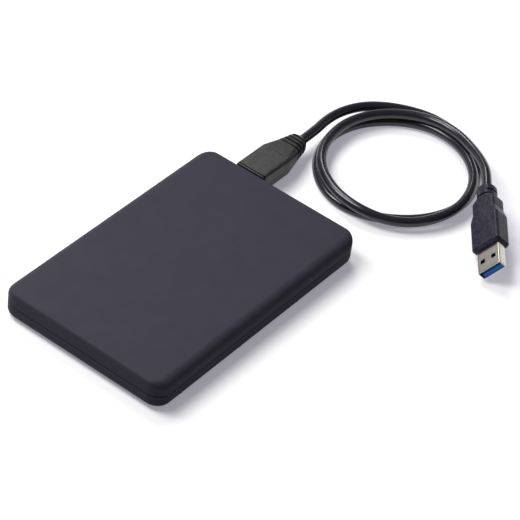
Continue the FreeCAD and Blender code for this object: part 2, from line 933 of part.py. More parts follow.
def clamp_screw():
    seat = platter_high_top + clamp_thickness
    return screw(spindle_x, spindle_y, seat, clamp_thickness / 2, lid_screw_head + sheet,
                 seat - platter_high - running_clearance, lid_screw_radius)


# Head arm, built with its pivot at the origin and its reach along X, then turned to its parked place

def parked(shape):
    """Turn a shape from the arm's own frame to its parked place in the drive."""
    turned = shape.copy()
    turned.rotate(Vec(0, 0, 0), Vec(0, 0, 1), park_angle)
    turned.translate(Vec(pivot_x, pivot_y, 0))
    return turned


def pivot_shaft():
    return rod(pivot_x, pivot_y, deck_top, rim_top, pivot_radius)


def pivot_sleeve():
    return ring(pivot_x, pivot_y, arm_low, arm_top, pivot_sleeve_radius, pivot_radius + running_clearance)


def actuator_arm():
    """Comb of three arms on one hub, with the fork that holds the voice coil."""
    pieces = [rod(0, 0, arm_low, arm_top, arm_hub_radius)]
    outline = [(0, arm_root_half), (arm_reach, arm_tip_half)]
    levels = ((arm_low, arm_thickness), (arm_mid, arm_middle_thickness), (arm_high, arm_thickness))
    for z0, thickness in levels:
        plate = tapered_plate(z0, z0 + thickness, outline)
        hole = rod(arm_hole_reach, 0, z0, z0 + thickness, arm_hole_radius)
        pieces.append(plate.cut(hole))
    coil_high = coil_low + coil_thickness
    outside = coil_half_angle + fork_angle
    pieces.append(fan(coil_low, coil_high, pivot_sleeve_radius, coil_inner, 180 - outside, 180 + outside))
    for first in (180 - outside, 180 + coil_half_angle):
        pieces.append(fan(coil_low, coil_high, pivot_sleeve_radius, coil_outer - fork_angle / 8,
                          first, first + fork_angle))
    arm = joined(pieces)
    return parked(arm.cut(rod(0, 0, arm_low, arm_top, pivot_sleeve_radius)))


def suspension_levels():
    """Bottom of each head suspension and which way its head faces."""
    return [
        (arm_low + arm_thickness, 1),
        (arm_mid - suspension_thickness, -1),
        (arm_mid + arm_middle_thickness, 1),
        (arm_high - suspension_thickness, -1),
    ]


def head_suspensions():
    """Thin springs under or over the arm tips, ending in the tabs that park on the ramp."""
    outline = [
        (suspension_start, arm_tip_half),
        (arm_reach, arm_tip_half),
        (slider_start, slider_half + suspension_thickness),
        (ramp_start - suspension_thickness, slider_half + suspension_thickness),
        (ramp_start, slider_half),
        (suspension_reach, slider_half),
    ]
    return Part.makeCompound([
        parked(tapered_plate(z0, z0 + suspension_thickness, outline)) for z0, facing in suspension_levels()])


def head_sliders():
    sliders = []
    for z0, facing in suspension_levels():
        low = z0 + suspension_thickness if facing > 0 else z0 - slider_thickness
        sliders.append(parked(block(slider_start, slider_start + slider_length, -slider_half, slider_half,
                                    low, low + slider_thickness)))
    return Part.makeCompound(sliders)


def voice_coil():
    """Flat wound coil in the fork: a fan-shaped band with an open middle."""
    high = coil_low + coil_thickness
    outer = fan(coil_low, high, coil_inner, coil_outer, 180 - coil_half_angle, 180 + coil_half_angle)
    window_half = coil_half_angle / 2
    window = fan(coil_low, high, coil_inner + coil_band, coil_outer - coil_band,
                 180 - window_half, 180 + window_half)
    return parked(outer.cut(window))


def magnet_plate(z0):
    return parked(fan(z0, z0 + plate_thickness, plate_inner, plate_outer,
                      sweep_middle - plate_half_angle, sweep_middle + plate_half_angle))


def magnet(z0):
    return parked(fan(z0, z0 + magnet_thickness, magnet_inner, coil_outer,
                      sweep_middle - magnet_half_angle, sweep_middle + magnet_half_angle))


def magnet_posts():
    """Two steel posts that hold the upper magnet plate above the lower one."""
    posts = []
    for side in (-1, 1):
        place = polar(magnet_post_circle, sweep_middle + side * magnet_post_half_angle)
        post = rod(place.x, place.y, deck_top + plate_thickness, plate_high, magnet_post_radius)
        posts.append(parked(post))
    return Part.makeCompound(posts)


def head_ramp():
    """Parking ramp: a post beside the platters with one finger in the plane of each."""
    levels = suspension_levels()
    fingers = [
        (levels[0][0] + suspension_thickness + ramp_clearance, levels[1][0] - ramp_clearance),
        (levels[2][0] + suspension_thickness + ramp_clearance, levels[3][0] - ramp_clearance),
    ]
    pieces = [block(ramp_post_start, ramp_post_end, -ramp_post_half, ramp_post_half,
                    deck_top, fingers[1][1])]
    for z0, z1 in fingers:
        pieces.append(block(ramp_start, ramp_post_start, -ramp_finger_half, ramp_finger_half, z0, z1))
    return parked(joined(pieces))


def air_filter():
    x = filter_width - bay_half
    return block(x, x + filter_width, bay_rear - bay_corner - filter_length, bay_rear - bay_corner,
                 deck_top, arm_high)


# Plug in the port

def nose_solid(width, height, y0, y1):
    """Nose of the plug: two shells side by side, parted by a notch above and below."""
    nose = loft(
        across_y(width, height, height / 4, port_x, y0, port_z),
        across_y(width, height, height / 4, port_x, y1, port_z),
    )
    notch_x = port_x + nose_notch_offset
    for sign in (-1, 1):
        edge = port_z + sign * height / 2
        z0, z1 = sorted((edge - sign * nose_notch, edge))
        nose = nose.cut(block(notch_x - nose_notch / 2, notch_x + nose_notch / 2, y0, y1, z0, z1))
    return nose


def drive_plug_shell():
    tip = port_front - port_depth + 2 * sheet + fit_gap
    back = plug_front + nose_in_overmould
    outer = nose_solid(nose_width, nose_height, tip, back)
    inside_width = nose_width - 2 * sheet
    inside_height = nose_height - 2 * sheet
    inner = loft(
        across_y(inside_width, inside_height, inside_height / 4, port_x, tip, port_z),
        across_y(inside_width, inside_height, inside_height / 4, port_x, plug_front, port_z),
    )
    notch_x = port_x + nose_notch_offset
    web = block(notch_x - nose_notch / 2 - sheet, notch_x + nose_notch / 2 + sheet, tip, plug_front,
                port_z - inside_height, port_z + inside_height)
    return outer.cut(inner.cut(web))


def relief_section(y, shrink):
    """Section of the strain relief at y, drawn in by shrink all round."""
    share = (y - relief_start) / relief_length
    width = relief_root_width + share * (relief_tip_width - relief_root_width) - 2 * shrink
    height = relief_root_height + share * (relief_tip_height - relief_root_height) - 2 * shrink
    return across_y(width, height, relief_roundness * min(width, height), port_x, y, port_z)


def drive_plug_body():
    """Overmould: straight grip, taper, a strain relief with grooves round it, and a neck to the cord."""
    front = across_y(plug_width, plug_height, plug_corner, port_x, plug_front, port_z)
    kink = across_y(plug_width, plug_height, plug_corner, port_x, plug_kink, port_z)
    pieces = [
        loft(front, kink),
        loft(kink, relief_section(relief_start, 0)),
        loft(relief_section(relief_start, 0), relief_section(relief_tip, 0)),
        loft(relief_section(relief_tip, 0),
             across_y(neck_size, neck_size, neck_corner, port_x, relief_end, port_z)),
    ]
    body = joined(pieces)
    for number in range(relief_grooves):
        y0 = relief_start + relief_pitch * number
        y1 = y0 + relief_groove
        slice_block = block(port_x - plug_width, port_x + plug_width, y0, y1, 0, 2 * port_z)
        core = loft(relief_section(y0, relief_groove_depth), relief_section(y1, relief_groove_depth))
        body = body.cut(slice_block.cut(core))
    return body.cut(nose_solid(nose_width, nose_height, plug_front, plug_front + nose_in_overmould))


# Host plug, built along X with its overmould's front at the origin, then laid in its place

def host_frame():
    return FreeCAD.Placement(Vec(*host_place), FreeCAD.Rotation(host_yaw, host_pitch, host_roll))


def laid(shape):
    """Move a shape from the host plug's own frame to where the plug lies."""
    moved = shape.copy()
    moved.Placement = host_frame().multiply(moved.Placement)
    return moved


def host_shell_section(shrink, x):
    width = host_shell_width - 2 * shrink
    height = host_shell_height - 2 * shrink
    return across_x(width, height, host_shell_corner - shrink, x)


def host_plug_shell():
    """Folded tube with two latch windows in each broad side."""
    back = -host_shell_hidden
    shell = loft(host_shell_section(0, back), host_shell_section(0, host_shell_length))
    shell = shell.cut(loft(host_shell_section(host_shell_wall, back),
                           host_shell_section(host_shell_wall, host_shell_length)))
    x = host_shell_length - host_window_from_mouth
    for y in (-host_window_half_pitch, host_window_half_pitch):
        shell = shell.cut(slab(x, y, host_window, host_window, -host_shell_height, host_shell_height))
    return laid(shell)


def host_floor():
    """Inner face of the shell that the tongue lies on."""
    return host_shell_wall - host_shell_height / 2


def host_plug_tongue():
    """Insulator: a block that closes the shell behind, and the tongue that carries the contacts."""
    half = host_shell_width / 2 - host_shell_wall - host_shell_corner
    low = host_floor()
    tongue = block(-host_shell_hidden, host_shell_length - host_tongue_set_back, -half, half,
                   low, low + host_tongue_height)
    back = block(-host_shell_hidden, host_tongue_block, -half, half, low, -low)
    return laid(joined([tongue, back]))


def host_plug_contacts():
    z0 = host_floor() + host_tongue_height
    x1 = host_tongue_block + host_contact_length
    return Part.makeCompound([
        laid(block(host_tongue_block, x1, y - host_contact_width / 2, y + host_contact_width / 2,
                   z0, z0 + host_contact_thickness))
        for y in host_contact_offsets])


def host_plug_body():
    """Overmould: chamfered grip, two steps and a round collar with a groove."""

    def grip(x, shrink=0.0):
        return across_x(host_body_width - 2 * shrink, host_body_height - 2 * shrink,
                        host_body_corner - shrink / 2, x)

    def waist(x):
        return across_x(host_waist_width, host_waist_height, host_body_corner, x)

    def collar(x, shrink=0.0):
        size = host_collar_size - 2 * shrink
        return across_x(size, size, host_collar_radius - shrink, x)

    groove = host_length - host_groove_from_end
    body = joined([
        loft(grip(0, host_front_chamfer), grip(-host_front_chamfer)),
        loft(grip(-host_front_chamfer), grip(-host_body_length)),
        loft(grip(-host_body_length), waist(-host_step_one)),
        loft(waist(-host_step_one), waist(-host_step_two)),
        loft(waist(-host_step_two), collar(-host_step_three)),
        loft(collar(-host_step_three), collar(-groove)),
        loft(collar(-groove, host_groove_depth), collar(-groove - host_groove_width, host_groove_depth)),
        loft(collar(-groove - host_groove_width), collar(-host_length)),
    ])
    seat = loft(host_shell_section(0, -host_shell_hidden), host_shell_section(0, 0))
    return laid(body.cut(seat))


# Cord

def cord_tube(points):
    """Round tube along straight runs joined by tangent arcs as large as the runs allow."""
    corners = [Vec(*point) for point in points]
    edges = []
    radii = []
    start = corners[0]
    for before, corner, after in zip(corners, corners[1:], corners[2:]):
        back = (before - corner).normalize()
        ahead = (after - corner).normalize()
        half_turn = (math.pi - back.getAngle(ahead)) / 2
        reach = arc_share * min((before - corner).Length, (after - corner).Length)
        radius = reach / math.tan(half_turn)
        first = corner + back * reach
        last = corner + ahead * reach
        inward = (back + ahead).normalize()
        centre = corner + inward * (radius / math.cos(half_turn))
        edges.append(Part.LineSegment(start, first).toShape())
        edges.append(Part.Arc(first, centre - inward * radius, last).toShape())
        radii.append(round(radius, 1))
        start = last
    edges.append(Part.LineSegment(start, corners[-1]).toShape())
    path = Part.Wire(edges)
    circle = Part.Circle(corners[0], corners[1] - corners[0], cord_diameter / 2)
    tube = path.makePipeShell([Part.Wire([circle.toShape()])], True, False)
    ideal = math.pi * (cord_diameter / 2) ** 2 * path.Length
    print("cord length", round(path.Length, 1), "radii", radii)
    print("cord volume over section times length", round(tube.Volume / ideal, 4))
    return tube


def cord_coil():
    """Outer shape of the loop's turns: a ring with a rounded section."""
    radial = coil_ring_outer - coil_ring_inner
    section = rounded_wire(radial, coil_ring_height, coil_ring_corner)
    middle = (coil_ring_outer + coil_ring_inner) / 2
    section.Placement = FreeCAD.Placement(Vec(coil_x + middle, coil_y, coil_ring_height / 2),
                                          FreeCAD.Rotation(Vec(1, 0, 0), 90))
    return Part.Face(section).revolve(Vec(coil_x, coil_y, 0), Vec(0, 0, 1), 360)


def cord_lead():
    """Lead from the strain relief to the loop."""
    straight = [(port_x, relief_end, port_z), (port_x, relief_end + lead_straight, port_z)]
    return cord_tube(straight + lead_points).cut(cord_coil())


def cord_tail():
    """End of the cord, from the loop up into the host plug's collar."""
    straight = [host_frame().multVec(Vec(-host_length - back, 0, 0)) for back in (tail_straight, 0)]
    return cord_tube(tail_points + [(end.x, end.y, end.z) for end in straight]).cut(cord_coil())


pieces = {
    "top_cover": top_cover(),
    "bottom_tray": bottom_tray(),
    "foam_pad": foam_pad(),
    "bridge_board": bridge_board(),
    "board_screws": board_screws(),
    "bridge_chip": bridge_chip(),
    "board_crystal": board_crystal(),
    "board_capacitors": board_capacitors(),
    "activity_led": activity_led(),
    "light_pipe": light_pipe(),
    "port_shell": port_shell(),
    "port_tongue": port_tongue(),
    "drive_socket": drive_socket(),
    "drive_base": drive_base(),
    "lid_gasket": lid_gasket(),
    "drive_lid": drive_lid(),
    "lid_screws": lid_screws(),
    "drive_board": drive_board(),
    "drive_board_screws": drive_board_screws(),
    "drive_chips": drive_chips(),
    "drive_connector": drive_connector(),
    "bearing_sleeve": bearing_sleeve(),
    "motor_stator": motor_stator(),
    "rotor_magnet": rotor_magnet(),
    "spindle_hub": spindle_hub(),
    "spindle_shaft": spindle_shaft(),
    "platter_lower": platter(platter_low),
    "platter_spacer": platter_spacer(),
    "platter_upper": platter(platter_high),
    "disk_clamp": disk_clamp(),
    "clamp_screw": clamp_screw(),
    "pivot_shaft": pivot_shaft(),
    "pivot_sleeve": pivot_sleeve(),
    "actuator_arm": actuator_arm(),
    "head_suspensions": head_suspensions(),
    "head_sliders": head_sliders(),
    "voice_coil": voice_coil(),
    "magnet_plate_lower": magnet_plate(deck_top),
    "magnet_lower": magnet(deck_top + plate_thickness),
    "magnet_upper": magnet(plate_high - magnet_thickness),
    "magnet_plate_upper": magnet_plate(plate_high),
    "magnet_posts": magnet_posts(),
    "head_ramp": head_ramp(),
    "air_filter": air_filter(),
    "drive_plug_shell": drive_plug_shell(),
    "drive_plug_body": drive_plug_body(),
    "host_plug_body": host_plug_body(),
    "host_plug_shell": host_plug_shell(),
    "host_plug_tongue": host_plug_tongue(),
    "host_plug_contacts": host_plug_contacts(),
    "cord_lead": cord_lead(),
    "cord_coil": cord_coil(),
    "cord_tail": cord_tail(),
}
for foot_name, foot_place in foot_places().items():
    pieces[foot_name] = foot(*foot_place)

os.makedirs("parts", exist_ok=True)
for name, shape in pieces.items():
    shape.exportStep("parts/" + name + ".step")
print(len(pieces), "pieces, case", case_width, "x", case_length, "x", case_top)
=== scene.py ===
# %% [markdown]
# A portable hard drive and its lead
#
# The construction comes in as a fixed frame: every solid is already in its place, in metres, with
# +Z up and +Y towards the end where the lead leaves. What is left to make here is the look: the
# finish of each surface, and finer meshes for the pieces that show.

# %% Load the frame
import json
import bpy
import numpy as np
from mathutils import Matrix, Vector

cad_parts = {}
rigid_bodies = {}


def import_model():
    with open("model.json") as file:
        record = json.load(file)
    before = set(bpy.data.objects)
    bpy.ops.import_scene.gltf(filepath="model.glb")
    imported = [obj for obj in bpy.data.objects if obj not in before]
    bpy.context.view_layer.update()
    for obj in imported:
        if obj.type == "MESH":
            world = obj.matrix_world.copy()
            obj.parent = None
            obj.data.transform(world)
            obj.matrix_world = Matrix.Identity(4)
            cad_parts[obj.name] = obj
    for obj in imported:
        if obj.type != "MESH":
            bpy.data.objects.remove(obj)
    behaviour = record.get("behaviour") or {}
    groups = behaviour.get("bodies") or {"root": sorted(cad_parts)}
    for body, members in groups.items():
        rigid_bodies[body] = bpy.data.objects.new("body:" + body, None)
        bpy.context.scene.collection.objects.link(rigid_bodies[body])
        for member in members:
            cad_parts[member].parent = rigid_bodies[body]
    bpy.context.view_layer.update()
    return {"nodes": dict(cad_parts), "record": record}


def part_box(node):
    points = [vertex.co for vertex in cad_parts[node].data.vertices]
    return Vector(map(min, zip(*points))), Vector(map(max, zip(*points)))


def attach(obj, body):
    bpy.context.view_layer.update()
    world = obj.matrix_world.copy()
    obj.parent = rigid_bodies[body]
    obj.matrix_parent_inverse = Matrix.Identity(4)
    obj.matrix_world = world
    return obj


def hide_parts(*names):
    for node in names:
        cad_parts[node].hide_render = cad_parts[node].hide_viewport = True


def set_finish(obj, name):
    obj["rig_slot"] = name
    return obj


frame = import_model()
mm = 0.001


# %% [markdown]
# Camera
#
# The picture was taken with a long lens from above and to the right of the case, and it leans a
# little. A camera is three directions and a place: which way is right, which way is up and which way
# is back. Writing them as the columns of a matrix is plainer than three rotation angles in a fixed
# order, because each column can be checked by itself.

# %% Camera
lens_length = 170.68
sensor_width = 36.0
camera_place = np.array((439.4, -626.4, 681.4)) * mm
azimuth, elevation, lean = np.radians((32.766, 40.853, 8.284))


def camera_directions(azimuth, elevation, lean):
    """Right, up and back of a camera: right lies in the floor at the azimuth, back rises by the
    elevation, up is square to both, and the lean turns right and up about back."""
    right = np.array((np.cos(azimuth), np.sin(azimuth), 0.0))
    back = np.array((np.sin(azimuth) * np.cos(elevation), -np.cos(azimuth) * np.cos(elevation),
                     np.sin(elevation)))
    up = np.cross(back, right)
    leaning_right = np.cos(lean) * right + np.sin(lean) * up
    leaning_up = np.cos(lean) * up - np.sin(lean) * right
    return leaning_right, leaning_up, back


def placing(directions, place):
    """Matrix that puts an object at a place, with its X, Y and Z along the three directions."""
    matrix = np.eye(4)
    matrix[:3, :3] = np.column_stack(directions)
    matrix[:3, 3] = place
    return Matrix(matrix.tolist())


camera_data = bpy.data.cameras.new("camera")
camera_data.lens = lens_length
camera_data.sensor_width = sensor_width
camera = bpy.data.objects.new("camera", camera_data)
camera.matrix_world = placing(camera_directions(azimuth, elevation, lean), camera_place)
bpy.context.scene.collection.objects.link(camera)
bpy.context.scene.camera = camera
print("camera is", round(float(np.linalg.norm(camera_place)), 3), "m from the origin")


# %% [markdown]
# Route of the cord
#
# The lead leaves the drive's plug, sinks slowly to the floor on its own stiffness, goes about twice
# round in a loose loop and ends in the computer's plug. The loop is written as stations: at each angle
# the radius and the height of the cable's middle. That is shorter than a list of points, and a turn
# that lies on another shows in the heights. The first turn lies on the floor. The second lies on the
# first, and crosses it on the right, at the front and at the back.

# %% Route of the cord
cord_diameter = 4.5 * mm
lead_points = [
    (-19.0, 104.7, 7.6),
    (-19.0, 115.2, 7.6),
    (-20.4, 126.2, 7.4),
    (-19.2, 137.2, 7.1),
    (-15.0, 147.4, 6.6),
    (-7.8, 155.6, 5.9),
    (1.6, 161.6, 5.4),
]
loop_middle = (21.0, 124.3)
loop_points = 42
# angle in degrees, radius and height in millimetres
loop_stations = np.array([
    (102, 41.0, 5.2), (66, 38.6, 3.8), (30, 34.6, 2.4), (-33, 32.2, 2.3), (-58, 32.8, 2.3),
    (-92, 36.2, 2.3), (-108, 36.8, 2.3), (-140, 35.5, 2.3), (-225, 36.1, 2.3), (-258, 36.7, 3.2),
    (-287, 34.2, 4.6), (-308, 32.8, 5.6), (-338, 33.9, 6.8), (-372, 36.1, 5.8), (-404, 37.0, 4.5),
    (-418, 37.3, 4.5), (-444, 37.3, 6.7), (-475, 35.2, 6.8), (-530, 33.4, 6.8), (-590, 35.8, 7.1),
    (-626, 36.8, 7.8), (-642, 35.9, 8.5),
])
tail_points = [
    (40.2, 154.2, 9.7),
    (49.2, 148.0, 11.2),
    (56.41, 141.04, 12.17),
    (62.17, 132.58, 11.34),
]


def loop_route():
    """Control points of the loop: even steps of angle, with radius and height read between the
    stations, and the radius divided by the cosine of half a step because the curve cuts corners."""
    turn, radius, height = loop_stations.T
    angle = np.linspace(turn[0], turn[-1], loop_points)
    outward = 1 / np.cos(np.radians(turn[0] - turn[-1]) / (loop_points - 1) / 2)
    reach = outward * np.interp(-angle, -turn, radius)
    return np.column_stack((
        loop_middle[0] + reach * np.cos(np.radians(angle)),
        loop_middle[1] + reach * np.sin(np.radians(angle)),
        np.interp(-angle, -turn, height),
    ))


cord_route = np.vstack((lead_points, loop_route(), tail_points)) * mm
print("route of the cord:", len(cord_route), "control points")


# %% [markdown]
# Cord
#
# The lead is one length of round PVC cable. A mesh tube would need every ring worked out. A NURBS
# curve with few control points bends as evenly as a real cable does, and Blender carries the round
# section along it.

# %% Cord
def nurbs_tube(name, points, diameter):
    """Round tube along a NURBS line that nears its control points and meets the first and the last.
    The bevel is one metre and each point's radius scales it, so the curve's box is true too."""
    curve = bpy.data.curves.new(name, "CURVE")
    curve.dimensions = "3D"
    spline = curve.splines.new("NURBS")
    spline.points.add(len(points) - 1)
    spline.points.foreach_set("co", np.column_stack((points, np.ones(len(points)))).ravel())
    spline.points.foreach_set("radius", np.full(len(points), diameter / 2))
    spline.order_u = 3
    spline.use_endpoint_u = True
    spline.resolution_u = 8
    curve.bevel_depth = 1.0
    curve.bevel_resolution = 8
    tube = bpy.data.objects.new(name, curve)
    bpy.context.scene.collection.objects.link(tube)
    return tube


cord = nurbs_tube("cord", cord_route, cord_diameter)
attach(cord, "housing")
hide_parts("cord_lead", "cord_coil", "cord_tail")
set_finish(cord, "cord_pvc")
print("cord is", round(cord_diameter / mm, 1), "mm thick")


# %% [markdown]
# Rings and skins
#
# A plug is moulded round its cable, and a foot is pressed in a mould: each is a section that changes
# along a line. Pushing vertices about would give such a shape too, but every change of size would have
# to be made by hand again. So the meshes here are stacks of rings with the same number of points. One
# function makes rounded rectangles of many sizes at once, and one stretches a skin over a stack.
# Because every ring keeps its order of points, the quads between two rings follow from counting.

# %% Rings
def rounded_rings(across, upright, corner, arc_points=8, flat_points=8):
    """Rounded rectangles, one for each size given: each corner is a quarter circle about a centre set
    in from both sides by its radius, and each flat is divided evenly between two corners."""
    across, upright, corner = np.broadcast_arrays(*np.atleast_1d(across, upright, corner))
    turn = np.radians(np.arange(4)[:, None] * 90 + np.linspace(0, 90, arc_points))
    signs = np.array([(1, 1), (-1, 1), (-1, -1), (1, -1)])
    half = np.stack((across, upright), axis=-1) / 2
    centre = (half - corner[:, None])[:, None] * signs
    quarter = np.stack((np.cos(turn), np.sin(turn)), axis=-1)
    arcs = centre[:, :, None] + corner[:, None, None, None] * quarter
    share = np.linspace(0, 1, flat_points + 2)[1:-1, None]
    flats = arcs[:, :, -1:] * (1 - share) + np.roll(arcs, -1, axis=1)[:, :, :1] * share
    return np.concatenate((arcs, flats), axis=2).reshape(len(across), -1, 2)


print("a ring has", rounded_rings(2.0, 1.0, 0.2).shape[1], "points")

# %% Skins
sharp_edge = np.radians(40)


def ring_quads(rows, columns):
    """Corner numbers of the quads of a stack of rings: from each point to the next one round its
    ring, up to the ring above, and back."""
    row, column = np.meshgrid(np.arange(rows - 1), np.arange(columns), indexing="ij")
    ahead = (column + 1) % columns
    here = row * columns
    above = here + columns
    corners = (here + column, here + ahead, above + ahead, above + column)
    return np.stack(corners, axis=-1).reshape(-1, 4)


def skin(name, rings):
    """Closed mesh over a stack of rings, with a flat face over the first and the last."""
    rows, columns, _ = rings.shape
    first = np.arange(columns)
    last = first + (rows - 1) * columns
    faces = ring_quads(rows, columns).tolist() + [first[::-1].tolist(), last.tolist()]
    mesh = bpy.data.meshes.new(name)
    mesh.from_pydata(rings.reshape(-1, 3) * mm, [], faces)
    mesh.shade_smooth()
    mesh.set_sharp_from_angle(angle=sharp_edge)
    piece = bpy.data.objects.new(name, mesh)
    bpy.context.scene.collection.objects.link(piece)
    return piece


def stand_in(piece, node, slot):
    """Let a piece stand for a solid of the housing and take that solid's finish."""
    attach(piece, "housing")
    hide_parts(node)
    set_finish(piece, slot)
    print(piece.name, "has", len(piece.data.polygons), "faces")


def box_in_mm(node):
    """Lowest and highest corner of a solid, in millimetres."""
    return [np.array(corner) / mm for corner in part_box(node)]


print("first quad between two rings of four points:", ring_quads(2, 4)[0].tolist())


# %% [markdown]
# What the mould adds
#
# The overmoulds of both plugs are soft PVC: a straight grip, a taper and a neck that bends with the
# cable. Each could be a box with loop cuts, but then each groove would be cut by hand. Here the size of
# the section is a function of the distance from the front, and three small functions add what the mould
# adds: softened kinks, rounded ends and grooves.

# %% What the mould adds
groove_edge = 0.12


def places_along(*stretches):
    """Places along a plug, closer where there is more to show: each stretch is a start, an end and a
    number of places."""
    return np.unique(np.concatenate([np.linspace(*stretch) for stretch in stretches]))


def sizes_along(stations, at, soften):
    """Width, height and corner at places along a plug: read between the stations, then averaged over
    seven places in a short stretch, which rounds each kink."""
    nearby = at[:, None] + np.linspace(-soften, soften, 7)
    return [np.interp(nearby, stations[:, 0], column).mean(axis=1) for column in stations[:, 1:].T]


def rounded_ends(at, radius):
    """How far an end's edge is drawn in: a quarter circle over the last stretch before each end."""
    depth = np.clip(radius - np.minimum(at - at[0], at[-1] - at), 0, radius)
    return radius - np.sqrt(radius ** 2 - depth ** 2)


def grooves(at, first, pitch, count, width, depth):
    """How far grooves are cut in: full depth inside each groove, rising over its edge as an S."""
    number = np.floor((at - first) / pitch)
    inside = at - first - number * pitch
    rise = np.clip(np.minimum(inside, width - inside) / groove_edge, 0, 1)
    return np.where((number >= 0) & (number < count), depth * rise ** 2 * (3 - 2 * rise), 0.0)


half_way_up = np.array((groove_edge / 2,))
print("half way up its edge, a groove 1 mm deep is cut", grooves(half_way_up, 0, 1, 1, 1, 1)[0], "mm")

# %% Overmould
least_corner = 0.2


def overmould(name, at, sizes, ends, cuts, seat, origin, directions):
    """Skin of a plug, from the floor of its front seat, out over the front and along to the cable.
    The two cuts are taken off the broad and the narrow sides, and each point keeps how deep it lies
    below the uncut section. A point is the origin plus its height, width and distance times the three
    directions."""
    width, height, corner = sizes
    cut_broad, cut_narrow = cuts
    plain = rounded_rings(height - 2 * ends, width - 2 * ends, np.maximum(corner - ends, least_corner))
    cut_corner = np.maximum(corner - ends - np.maximum(cut_broad, cut_narrow), least_corner)
    outside = rounded_rings(height - 2 * (ends + cut_broad), width - 2 * (ends + cut_narrow), cut_corner)
    seat_width, seat_height, seat_corner, seat_depth = seat
    inside = np.repeat(rounded_rings(seat_height, seat_width, seat_corner), 2, axis=0)
    sections = np.concatenate((inside, outside))
    distance = np.concatenate(((seat_depth, 0.0), at))
    distance = np.broadcast_to(distance[:, None, None], (*sections.shape[:2], 1))
    piece = skin(name, np.concatenate((sections, distance), axis=2) @ np.array(directions) + origin)
    # how deep each point lies below the uncut section; the finish paints shade into the slots from it
    below = np.concatenate((np.zeros(inside.shape[:2]), np.linalg.norm(outside - plain, axis=2)))
    depth = piece.data.attributes.new("slot_depth", "FLOAT", "POINT")
    depth.data.foreach_set("value", below.ravel())
    return piece


print("no corner of an overmould is sharper than", least_corner, "mm")


# %% [markdown]
# Plug in the drive
#
# This plug stands straight out of the case. Behind the thin lip at its front runs a groove, and its
# strain relief is four deep grooves and a neck. The length, width and height come from the solid, so the
# finer piece lies exactly where the solid does, and the seat at its front takes the metal nose.

# %% Plug in the drive
low, high = box_in_mm("drive_plug_body")
nose_low, nose_high = box_in_mm("drive_plug_shell")
plug_width, plug_length, plug_height = high - low
grip_length = 18.6
taper_end = 27.0
groove_count, groove_pitch = 4, 2.4
groove_width, groove_depth = 1.0, 1.5
lip_length, lip_groove, lip_groove_depth = 0.4, 0.8, 0.7
relief_end = taper_end + (groove_count - 1) * groove_pitch + groove_width
front_stretch = 1.5
kink_softness, end_round = 0.5, 0.4
# distance from the front, width, height and corner radius in millimetres
drive_plug_stations = np.array([
    (0.0, plug_width, plug_height, 1.1),
    (grip_length, plug_width, plug_height, 1.1),
    (taper_end, 12.0, 8.5, 2.46),
    (relief_end, 8.6, 7.5, 2.18),
    (plug_length, 5.8, 5.8, 2.6),
])
seat_room = 0.04
drive_plug_seat = (
    nose_high[0] - nose_low[0] + 2 * seat_room,
    nose_high[2] - nose_low[2] + 2 * seat_room,
    (nose_high[2] - nose_low[2]) / 4,
    nose_high[1] - low[1] + seat_room,
)
at = places_along((0, front_stretch, 31), (front_stretch, taper_end, 58), (taper_end, plug_length, 150))
cut = (grooves(at, lip_length, lip_groove, 1, lip_groove, lip_groove_depth)
       + grooves(at, taper_end, groove_pitch, groove_count, groove_width, groove_depth))
drive_plug = overmould(
    "drive_plug_grip", at, sizes_along(drive_plug_stations, at, kink_softness),
    rounded_ends(at, end_round), cuts=(cut, cut), seat=drive_plug_seat,
    origin=((low[0] + high[0]) / 2, low[1], (low[2] + high[2]) / 2),
    directions=((0, 0, 1), (1, 0, 0), (0, 1, 0)))
stand_in(drive_plug, "drive_plug_body", "grip_grey")


# %% [markdown]
# Plug for the computer
#
# This one leans on an edge of its grip, so it has a frame of its own: a place, and the three directions
# that a turn about each axis gives. It could be made upright and turned as an object, but a piece keeps
# its place in its mesh. It is the same kind of surface as the first plug, with a chamfered front, a step
# down to the fingers' hold, and a round collar. Two slots let the collar bend: one is cut into the broad
# sides, the next into the narrow ones, so that a rib stays between.

# %% Frame of the computer plug
host_place = np.array((84.1, 104.2, 8.2))
host_yaw, host_pitch, host_roll = np.radians((-52.3, 5.0, 49.5))


def turned(yaw, pitch, roll):
    """Directions of a frame's own X, Y and Z after a roll about X, a pitch about Y and a yaw about Z."""
    cy, sy, cp, sp, cr, sr = (f(angle) for angle in (yaw, pitch, roll) for f in (np.cos, np.sin))
    about_z = np.array(((cy, -sy, 0), (sy, cy, 0), (0, 0, 1)))
    about_y = np.array(((cp, 0, sp), (0, 1, 0), (-sp, 0, cp)))
    about_x = np.array(((1, 0, 0), (0, cr, -sr), (0, sr, cr)))
    return (about_z @ about_y @ about_x).T


host_x, host_y, host_z = turned(host_yaw, host_pitch, host_roll)
print("the computer plug points along", host_x.round(3).tolist())

# %% Plug for the computer
shell_width, shell_height, shell_corner, shell_wall = 12.0, 4.5, 0.6, 0.32
shell_hidden = 8.0
shell_length = 12.2
host_length = 36.0
# width, height and corner radius in millimetres
host_front = (12.8, 6.8, 1.2)
host_grip = (14.8, 8.8, 1.7)
host_waist = (12.0, 8.4, 1.7)
host_collar = (8.8, 8.8, 4.05)
